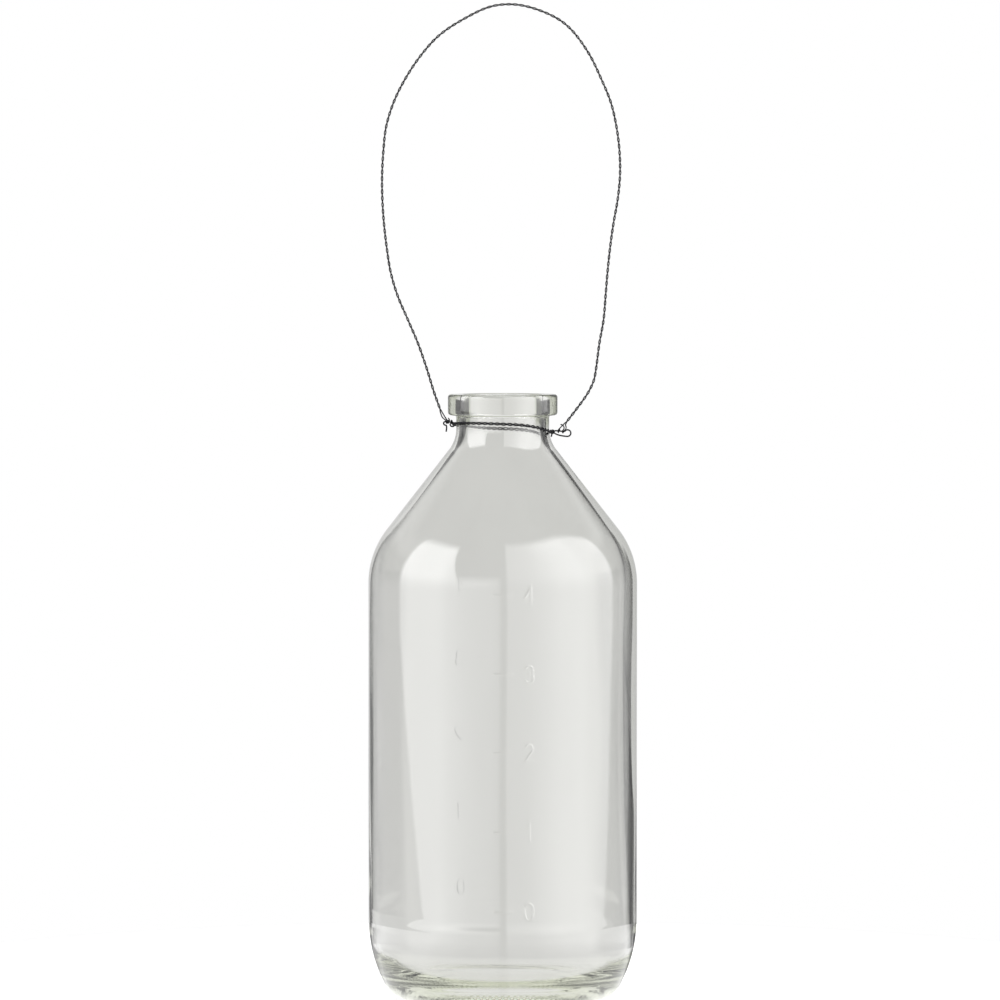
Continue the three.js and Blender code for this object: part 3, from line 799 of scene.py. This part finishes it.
    def bail_strand_one(self):
        """Outer on the left, and the inner leg of the fork on the right."""
        left, right, twist = self.left, self.right, self.bail_twist_path(0)
        end_out, turned = self.left_reach, 470
        start_out = end_out - self.lead * turned / 360
        start = wire_path([
            *self.wrap(left, PLAN_BAIL, start_out, end_out, 20 + turned, 20),
            self.toward_stem(end_out, 0.17, 0.4, 0.22),
            self.toward_stem(end_out, 0.7, 0.3, 0.46),
            twist[0],
        ])  # fmt: skip
        leg = RIGHT_EYE_REACH - RIGHT_LEG_SETBACK - RIGHT_LEG_SPREAD
        end = wire_path([
            twist[-1],
            self.toward_fork(leg, 0.33, 0.8, 0.48),
            self.toward_fork(leg, 0.03, 1, 0.12),
            *self.wrap(right, PLAN_BAIL, leg, leg + self.coil, 100, 400),
        ])  # fmt: skip
        return [*start[:-1], *twist, *end[1:]]

    def bail_strand_two(self):
        """Inner on the left, with a nub, and the doubled leg of the fork on the right."""
        left, right, twist = self.left, self.right, self.bail_twist_path(math.pi)
        reach = self.coil
        end_out = self.left_reach - self.lead / 2
        start_out = end_out - self.lead
        start = wire_path([
            left(start_out + reach, -reach, 2.55 * reach),
            left(start_out + 0.33 * reach, -0.9 * reach, 1.55 * reach),
            *self.wrap(left, PLAN_BAIL, start_out, end_out, 20 + 360, 20),
            self.toward_stem(end_out, 0.1, 0.4, 0.28),
            self.toward_stem(end_out, 0.45, 0.3, 0.59),
            twist[0],
        ])  # fmt: skip
        leg, up = RIGHT_EYE_REACH - RIGHT_LEG_SETBACK, BAIL_FORK_HEIGHT
        end = wire_path([
            twist[-1],
            right(leg + 1.45 * reach, -0.8 * reach, 0.52 * up),
            right(leg + 0.67 * reach, -reach, 0.14 * up),
            *self.wrap(right, PLAN_BAIL, leg, leg - 0.78 * reach, 100, 280),
            right(leg, reach, 0.24 * up),
            right(leg + 0.1 * reach, reach, 0.57 * up),
            right(leg - 0.67 * reach, reach, 0.81 * up),
            right(leg - 2.2 * reach, 0.6 * reach, 0.93 * up),
        ])  # fmt: skip
        return [*start[:-1], *twist, *end[1:]]


# ---- materials


class Graph:
    """The nodes of a material, a world or a group, with short ways to add to them."""

    def __init__(self, tree):
        self.nodes, self.links = tree.nodes, tree.links

    def fill(self, node, inputs):
        """Puts links, numbers or colours on a node's inputs."""
        for name, value in inputs.items():
            if isinstance(value, bpy.types.NodeSocket):
                self.links.new(value, node.inputs[name])
            else:
                node.inputs[name].default_value = value
        return node

    def add(self, kind, inputs=(), **settings):
        """A new node with its settings and inputs."""
        node = self.nodes.new(kind)
        for name, value in settings.items():
            setattr(node, name, value)
        return self.fill(node, dict(inputs))

    def math(self, operation, *values):
        """A sum on sockets or numbers."""
        return self.add("ShaderNodeMath", enumerate(values), operation=operation).outputs["Value"]

    def spread(self, value, low, high, to_low=0.0, to_high=1.0, kind="LINEAR"):
        """A value moved from one range to another and kept inside it."""
        names = ("Value", "From Min", "From Max", "To Min", "To Max")
        inputs = zip(names, (value, low, high, to_low, to_high))
        return self.add("ShaderNodeMapRange", inputs, interpolation_type=kind).outputs["Result"]

    def smooth(self, value, low, high, to_low=0.0, to_high=1.0):
        """The same with soft ends."""
        return self.spread(value, low, high, to_low, to_high, "SMOOTHSTEP")

    def mix(self, mask, first, second, kind="FLOAT"):
        """A value or colour between two, by a mask."""
        inputs = {"Factor": mask, "A": first, "B": second}
        return self.add("ShaderNodeMix", inputs, data_type=kind).outputs["Result"]

    def mottle(self, scale, stretch=1.0, low=0.4, high=0.6):
        """The cloudy group, with its own values."""
        inputs = {"Scale": scale, "Stretch": stretch, "Low": low, "High": high}
        return self.add("ShaderNodeGroup", inputs, node_tree=mottle_group()).outputs

    def bump(self, height, strength, distance):
        """A normal that follows a height."""
        inputs = {"Height": height, "Strength": strength, "Distance": distance}
        return self.add("ShaderNodeBump", inputs).outputs["Normal"]


def new_material(name):
    """A material and its graph, with a Principled shader and an output."""
    material = bpy.data.materials.new(name)
    material.use_nodes = True
    return material, Graph(material.node_tree)


def mottle_group():
    """Node group: cloudy unevenness of a surface, as a height and as a mask from 0 to 1."""
    group = bpy.data.node_groups.get("mottle")
    if group:
        return group
    group = bpy.data.node_groups.new("mottle", "ShaderNodeTree")
    for name in ("Scale", "Stretch", "Low", "High"):
        group.interface.new_socket(name, in_out="INPUT", socket_type="NodeSocketFloat")
    for name in ("Height", "Mask"):
        group.interface.new_socket(name, in_out="OUTPUT", socket_type="NodeSocketFloat")
    graph = Graph(group)
    entry = graph.add("NodeGroupInput").outputs
    shape = graph.add("ShaderNodeCombineXYZ", {"X": 1.0, "Y": 1.0, "Z": entry["Stretch"]})
    place = {0: graph.add("ShaderNodeTexCoord").outputs["Object"], 1: shape.outputs["Vector"]}
    place = graph.add("ShaderNodeVectorMath", place, operation="MULTIPLY").outputs["Vector"]
    clouds = {"Vector": place, "Scale": entry["Scale"], "Detail": MOTTLE_DETAIL}
    clouds = graph.add("ShaderNodeTexNoise", clouds).outputs["Fac"]
    mask = graph.spread(clouds, entry["Low"], entry["High"])
    graph.add("NodeGroupOutput", {"Height": clouds, "Mask": mask})
    return group


# Mottle values: scale, stretch, low and high.
MOTTLE_DETAIL = 2.5
GLASS_CORDS = (60.0, 0.25, 0.35, 0.65)
GLASS_SKIN = (90.0, 0.3)
WIRE_BLOTCHES = (900.0, 1.0, 0.42, 0.68)
WIRE_MARKS = (5200.0,)

CORD_PALENESS = 1.02
GLASS_IOR = 1.51
GLASS_DENSITY = 7.0
SKIN_BUMP = (0.12, 0.05 * MM)
# Where the painted shade on the rim's sides lies: the rim's heights, and how far the surface turns
# away from view.
RIM_SHADE_HEIGHTS = (BOTTLE_HEIGHT - 11 * MM, BOTTLE_HEIGHT - 8 * MM)
RIM_SHADE_FACING = (0.38, 0.52)
WIRE_METALLIC = 0.6
WIRE_SPECULAR = 0.2
WIRE_SPECULAR_TINT = (0.35, 0.35, 0.37, 1)
WIRE_ROUGHNESS = (0.38, 0.58)
MARKS_BUMP = (0.4, 0.02 * MM)


def glass_material(finishes):
    """Clear moulded glass with faint cords and a chilled skin, greener in depth, and darker green
    on the rim's sides: partly the glass's green, partly painted shade.
    """
    material, graph = new_material("clear_glass")
    paler = [min(1.0, c * CORD_PALENESS) for c in finishes.glass]
    cords = graph.mottle(*GLASS_CORDS)["Mask"]
    clear = graph.mix(cords, (*finishes.glass, 1), (*paler, 1), "RGBA")
    place = {"Vector": graph.add("ShaderNodeTexCoord").outputs["Object"]}
    height = graph.add("ShaderNodeSeparateXYZ", place).outputs["Z"]
    # Painted shade: the rim's sides, where the surface turns away from view, take the darker green
    # of the rim colour.
    facing = graph.add("ShaderNodeLayerWeight").outputs["Facing"]
    is_rim = graph.smooth(height, *RIM_SHADE_HEIGHTS)
    is_shaded_side = graph.math("MULTIPLY", is_rim, graph.smooth(facing, *RIM_SHADE_FACING))
    graph.fill(graph.nodes["Principled BSDF"], {
        "Base Color": graph.mix(is_shaded_side, clear, (*finishes.glass_rim_shade, 1), "RGBA"),
        "Normal": graph.bump(graph.mottle(*GLASS_SKIN)["Height"], *SKIN_BUMP),
        "Transmission Weight": 1.0,
        "IOR": GLASS_IOR,
        "Metallic": 0.0,
        "Roughness": 0.0,
    })  # fmt: skip
    depth = {"Color": (*finishes.glass_depth, 1), "Density": GLASS_DENSITY}
    depth = graph.add("ShaderNodeVolumeAbsorption", depth).outputs["Volume"]
    graph.fill(graph.nodes["Material Output"], {"Volume": depth})
    return material


def wire_material(finishes):
    """Dark annealed steel wire with a dull, blotchy scale and fine drawing marks."""
    material, graph = new_material("annealed_wire")
    scale = graph.mottle(*WIRE_BLOTCHES)["Mask"]
    graph.fill(graph.nodes["Principled BSDF"], {
        "Base Color": graph.mix(scale, (*finishes.wire, 1), (*finishes.wire_scale, 1), "RGBA"),
        "Roughness": graph.spread(scale, 0, 1, *WIRE_ROUGHNESS),
        "Normal": graph.bump(graph.mottle(*WIRE_MARKS)["Height"], *MARKS_BUMP),
        "Metallic": WIRE_METALLIC,
        "Specular IOR Level": WIRE_SPECULAR,
        "Specular Tint": WIRE_SPECULAR_TINT,
    })  # fmt: skip
    return material


# ---- stage

# Angles are in degrees: azimuth to the right of -Y, or elevation. Pairs give where a change
# starts and ends, and four numbers also its two levels. White is level 1.

# The room through the glass
FLAG_START = (22.0, 24.5)
FLAG_END = (75.0, 90.0, 1.0, 0.0)
FLAG_LOW = (-10.0, -8.0, 0.0, 1.0)
FLAG_HIGH = (20.0, 30.0, 1.0, 0.0)
SKY_EDGE = (8.0, 16.0)
SKY_LEVEL = 0.84

# The room in mirror reflections
BOX_LEVELS = [
    (-180, 0.9), (-165, 0.6), (-152, 0.35), (-143, 1.0), (-130, 1.8), (-116, 3.8), (-80, 4.05),
    (-65, 4.4), (-55, 4.7), (-46, 3.8), (-37, 3.3), (-25, 2.6), (-11, 2.15), (-4, 1.55), (-1, 0.3),
    (2, 0.3), (4, 2.0), (15, 2.3), (25, 2.7), (41, 4.0), (50, 4.7), (70, 5.0), (82, 4.2), (93, 4.0),
    (118, 3.6), (128, 2.2), (136, 0.8), (145, 0.25), (165, 0.4), (180, 0.8),
]  # fmt: skip
BRIGHTEST_LEVEL = 5.0
BOX_CORNER = (60.0, 110.0)
BOX_CORNER_POWER = 2.5
BOX_TOP_LEFT = (48.0, 40.0)
BOX_TOP_RIGHT = (58.0, 40.0)
BOX_STEP = (37.0, 52.0)
BOX_STEP_TOP = 9.0
BOX_EDGE = (-7.0, 4.0)
BOX_SIDES = ((65.0, 98.5), (94.0, 109.0))
BOX_SIDE_ELEVATIONS = (-6.5, -3.4)
BOX_SIDE_EDGE = (-3.0, 3.0)
BESIDE_BOX = (-3.2, 10.0, 1.65, 0.8)
BOX_GLOWS = (1.6, 1.3)
BOX_GLOW_ELEVATIONS = (-4.0, 10.0)
OVERHEAD = (77.0, 83.0, 0.3, 5.0)

# The light on the board, by the distance from the vase's axis
BOARD_SHINE = (0.06, 0.13, 0.43, 0.9)
BOARD_NEAR = (0.045, 0.07, 0.79)
BOARD_FILL = 0.45
BOARD_COLOUR = (0.8, 0.8, 0.8, 1)
BOARD_ROUGHNESS = 0.9
BOARD_SIDES = 96
BOARD_GAP = 0.02 * MM

FILL_LEVEL = 0.9
GLASS_BOUNCES = 24
SENSOR_WIDTH = 36
CAMERA_CLIP = (0.05, 50)


def direction_angles(graph, output):
    """Azimuth and elevation of a direction, or the azimuth of a place."""
    place = {"Vector": graph.add("ShaderNodeTexCoord").outputs[output]}
    x, y, z = graph.add("ShaderNodeSeparateXYZ", place).outputs
    azimuth = graph.math("ARCTAN2", x, graph.math("MULTIPLY", y, -1))
    return graph.math("DEGREES", azimuth), graph.math("DEGREES", graph.math("ARCSINE", z))


def backdrop_level(graph, azimuth, elevation, stage):
    """Brightness of the room through the glass: a pale backdrop with dark flags beside it."""
    beside = graph.math("SUBTRACT", 180, graph.math("ABSOLUTE", azimuth))
    flag = graph.smooth(beside, *FLAG_START)
    for value, edge in ((elevation, FLAG_LOW), (elevation, FLAG_HIGH), (beside, FLAG_END)):
        flag = graph.math("MULTIPLY", flag, graph.smooth(value, *edge))
    level = graph.smooth(elevation, *SKY_EDGE, stage.backdrop, SKY_LEVEL)
    return graph.mix(flag, level, stage.flags)


def box_top(graph, azimuth, is_right):
    """Elevation of the boxes' upper edge, which falls behind the vase and steps down in front."""
    side = graph.math("ABSOLUTE", azimuth)
    corner = graph.math("POWER", graph.spread(side, *BOX_CORNER), BOX_CORNER_POWER)
    left = graph.spread(corner, 0, 1, *BOX_TOP_LEFT)
    left = graph.mix(graph.smooth(side, *BOX_STEP), BOX_STEP_TOP, left)
    return graph.mix(is_right, left, graph.spread(corner, 0, 1, *BOX_TOP_RIGHT))


def box_level(graph, azimuth, stage):
    """Brightness of the two light boxes round the vase."""
    turn = graph.spread(azimuth, -180, 180)
    ramp = graph.add("ShaderNodeValToRGB", {"Fac": turn})
    elements = ramp.color_ramp.elements
    for degrees, _ in BOX_LEVELS[1:-1]:
        elements.new((degrees + 180) / 360)
    for element, (_, level) in zip(elements, BOX_LEVELS):
        element.color = (*[level / BRIGHTEST_LEVEL] * 3, 1)
    return graph.math("MULTIPLY", ramp.outputs["Color"], BRIGHTEST_LEVEL * stage.boxes)


def room_level(graph, azimuth, elevation, stage):
    """Brightness of the room in mirror reflections: two tall light boxes under a dim ceiling."""
    is_right = graph.math("GREATER_THAN", azimuth, 0)
    glows = [graph.spread(elevation, *BOX_GLOW_ELEVATIONS, 1.0, glow) for glow in BOX_GLOWS]
    sides = [graph.spread(elevation, *BOX_SIDE_ELEVATIONS, *side) for side in BOX_SIDES]
    level = box_level(graph, azimuth, stage)
    boxes = graph.math("MULTIPLY", level, graph.mix(is_right, *glows))
    past = graph.math("SUBTRACT", graph.math("ABSOLUTE", azimuth), graph.mix(is_right, *sides))
    beside = graph.math("MINIMUM", level, graph.spread(elevation, *BESIDE_BOX))
    boxes = graph.mix(graph.smooth(past, *BOX_SIDE_EDGE), boxes, beside)
    height = graph.math("SUBTRACT", elevation, box_top(graph, azimuth, is_right))
    ceiling = graph.smooth(elevation, *OVERHEAD)
    return graph.mix(graph.smooth(height, *BOX_EDGE), boxes, ceiling)


def make_world(stage):
    """Light boxes in mirror reflections, a backdrop with flags through the glass, white behind."""
    world = bpy.data.worlds.new("studio")
    world.use_nodes = True
    world.node_tree.nodes.clear()
    graph = Graph(world.node_tree)
    azimuth, elevation = direction_angles(graph, "Generated")
    path = graph.add("ShaderNodeLightPath").outputs
    through = backdrop_level(graph, azimuth, elevation, stage)
    level = room_level(graph, azimuth, elevation, stage)
    level = graph.mix(path["Is Transmission Ray"], level, through)
    level = graph.mix(path["Is Diffuse Ray"], level, FILL_LEVEL)
    level = graph.mix(path["Is Camera Ray"], level, 1.0)
    background = graph.add("ShaderNodeBackground", {"Color": (1, 1, 1, 1), "Strength": level})
    graph.add("ShaderNodeOutputWorld", {"Surface": background.outputs["Background"]})
    bpy.context.scene.world = world


def board_material(stage):
    """White to the camera apart from the vase's shadow; painted light paler near the foot through
    the glass, and a painted pool of the boxes' light in reflections.
    """
    material, graph = new_material("white_board")
    azimuth, _ = direction_angles(graph, "Object")
    place = {0: graph.add("ShaderNodeTexCoord").outputs["Object"]}
    distance = graph.add("ShaderNodeVectorMath", place, operation="LENGTH").outputs["Value"]
    # Painted light: through the glass the board is paler near the foot.
    through = graph.smooth(distance, *BOARD_NEAR, stage.backdrop)
    # Painted light: in reflections the board shows a pool of the boxes' light by azimuth, dimmed
    # near the foot as painted shade.
    shine = graph.smooth(distance, *BOARD_SHINE)
    painted_box_pool = graph.math("MULTIPLY", box_level(graph, azimuth, stage), shine)
    fill, painted_box_pool, through = [
        graph.add("ShaderNodeEmission", {"Strength": level}).outputs["Emission"]
        for level in (BOARD_FILL, painted_box_pool, through)
    ]
    board = {"Base Color": BOARD_COLOUR, "Roughness": BOARD_ROUGHNESS}
    board = graph.fill(graph.nodes["Principled BSDF"], board).outputs["BSDF"]
    surface = graph.add("ShaderNodeAddShader", {0: board, 1: fill}).outputs["Shader"]
    path = graph.add("ShaderNodeLightPath").outputs
    for ray, seen in (("Is Glossy Ray", painted_box_pool), ("Is Transmission Ray", through)):
        inputs = {"Fac": path[ray], 1: surface, 2: seen}
        surface = graph.add("ShaderNodeMixShader", inputs).outputs["Shader"]
    graph.fill(graph.nodes["Material Output"], {"Surface": surface})
    return material


def make_board(stage):
    """The round board that the vase stands on."""
    turns = np.linspace(0, 2 * math.pi, BOARD_SIDES, endpoint=False)
    points = [(stage.board * math.cos(t), stage.board * math.sin(t), -BOARD_GAP) for t in turns]
    board = mesh_object("board", points, [tuple(range(BOARD_SIDES))], board_material(stage))


def make_camera(stage):
    """The camera, a little above the rim and far away."""
    data = bpy.data.cameras.new("camera")
    data.lens = stage.lens
    data.sensor_width = SENSOR_WIDTH
    data.clip_start, data.clip_end = CAMERA_CLIP
    camera = bpy.data.objects.new("camera", data)
    camera.location = (0, -stage.distance, stage.camera_height)
    aim = Vector((stage.aim_side, 0, stage.aim_height))
    camera.rotation_euler = (aim - camera.location).to_track_quat("-Z", "Y").to_euler()
    bpy.context.scene.collection.objects.link(camera)
    bpy.context.scene.camera = camera


# ---- operators


class VASE_OT_glass_bottle(bpy.types.Operator):
    """Makes the glass bottle in place of its plain solid"""

    bl_idname = "vase.glass_bottle"
    bl_label = "Glass Bottle"

    def execute(self, context):
        settings = context.scene.bottle_vase
        points, faces = bottle_mesh(settings.bottle)
        bottle = mesh_object("bottle_glass", points, faces, glass_material(settings.finishes))
        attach(bottle, "bottle")
        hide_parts("glass_bottle")
        return {"FINISHED"}


def add_strand(name, path, radius, body, node):
    """One strand in place of its plain solid, riding on its body."""
    settings = bpy.context.scene.bottle_vase
    wire = bpy.data.materials.get("annealed_wire") or wire_material(settings.finishes)
    strand = strand_object(name, path, radius, settings.wires.sides, wire)
    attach(strand, body)
    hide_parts(node)


class VASE_OT_collar(bpy.types.Operator):
    """Makes the twisted-wire collar with its eyes"""

    bl_idname = "vase.collar"
    bl_label = "Collar"

    def execute(self, context):
        wires = context.scene.bottle_vase.wires
        plan = WirePlan(wires)
        one, two = plan.collar_strand_one(), plan.collar_strand_two()
        add_strand("collar_wire_1", one, wires.collar_strand, "collar", "collar_strand_1")
        add_strand("collar_wire_2", two, wires.collar_strand, "collar", "collar_strand_2")
        return {"FINISHED"}


class VASE_OT_bail(bpy.types.Operator):
    """Makes the twisted-wire bail that swings on the collar's eyes"""

    bl_idname = "vase.bail"
    bl_label = "Bail"

    def execute(self, context):
        wires = context.scene.bottle_vase.wires
        plan = WirePlan(wires)
        one, two = plan.bail_strand_one(), plan.bail_strand_two()
        add_strand("bail_wire_1", one, wires.bail_strand, "bail", "bail_strand_1")
        add_strand("bail_wire_2", two, wires.bail_strand, "bail", "bail_strand_2")
        return {"FINISHED"}


class VASE_OT_stage(bpy.types.Operator):
    """Makes the board, the studio light and the camera"""

    bl_idname = "vase.stage"
    bl_label = "Stage"

    def execute(self, context):
        stage = context.scene.bottle_vase.stage
        make_world(stage)
        make_board(stage)
        make_camera(stage)
        context.scene.view_settings.view_transform = "Standard"
        for name in ("max_bounces", "transmission_bounces", "glossy_bounces"):
            setattr(context.scene.cycles, name, GLASS_BOUNCES)
        return {"FINISHED"}


class VASE_PT_panel(bpy.types.Panel):
    """Lists the vase's pieces and their sizes"""

    bl_idname = "VASE_PT_panel"
    bl_label = "Bottle Vase"
    bl_space_type = "VIEW_3D"
    bl_region_type = "UI"
    bl_category = "Bottle Vase"

    def draw(self, context):
        settings = context.scene.bottle_vase
        for operator in OPERATORS:
            self.layout.operator(operator.bl_idname)
        for group in (settings.bottle, settings.wires, settings.finishes, settings.stage):
            box = self.layout.box()
            for name in group.__annotations__:
                box.prop(group, name)


OPERATORS = (VASE_OT_glass_bottle, VASE_OT_collar, VASE_OT_bail, VASE_OT_stage)
GROUPS = (BottleSizes, WireSizes, Finishes, StageSettings, VaseSettings)
CLASSES = (*GROUPS, *OPERATORS, VASE_PT_panel)


def register():
    """Registers the settings, the operators and the panel."""
    for item in CLASSES:
        bpy.utils.register_class(item)
    bpy.types.Scene.bottle_vase = PointerProperty(type=VaseSettings)


def unregister():
    """Removes them again."""
    del bpy.types.Scene.bottle_vase
    for item in reversed(CLASSES):
        bpy.utils.unregister_class(item)


def main():
    """Makes the vase and its stage."""
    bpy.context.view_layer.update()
    register()
    bpy.ops.vase.glass_bottle()
    bpy.ops.vase.collar()
    bpy.ops.vase.bail()
    bpy.ops.vase.stage()


if __name__ == "__main__":
    main()
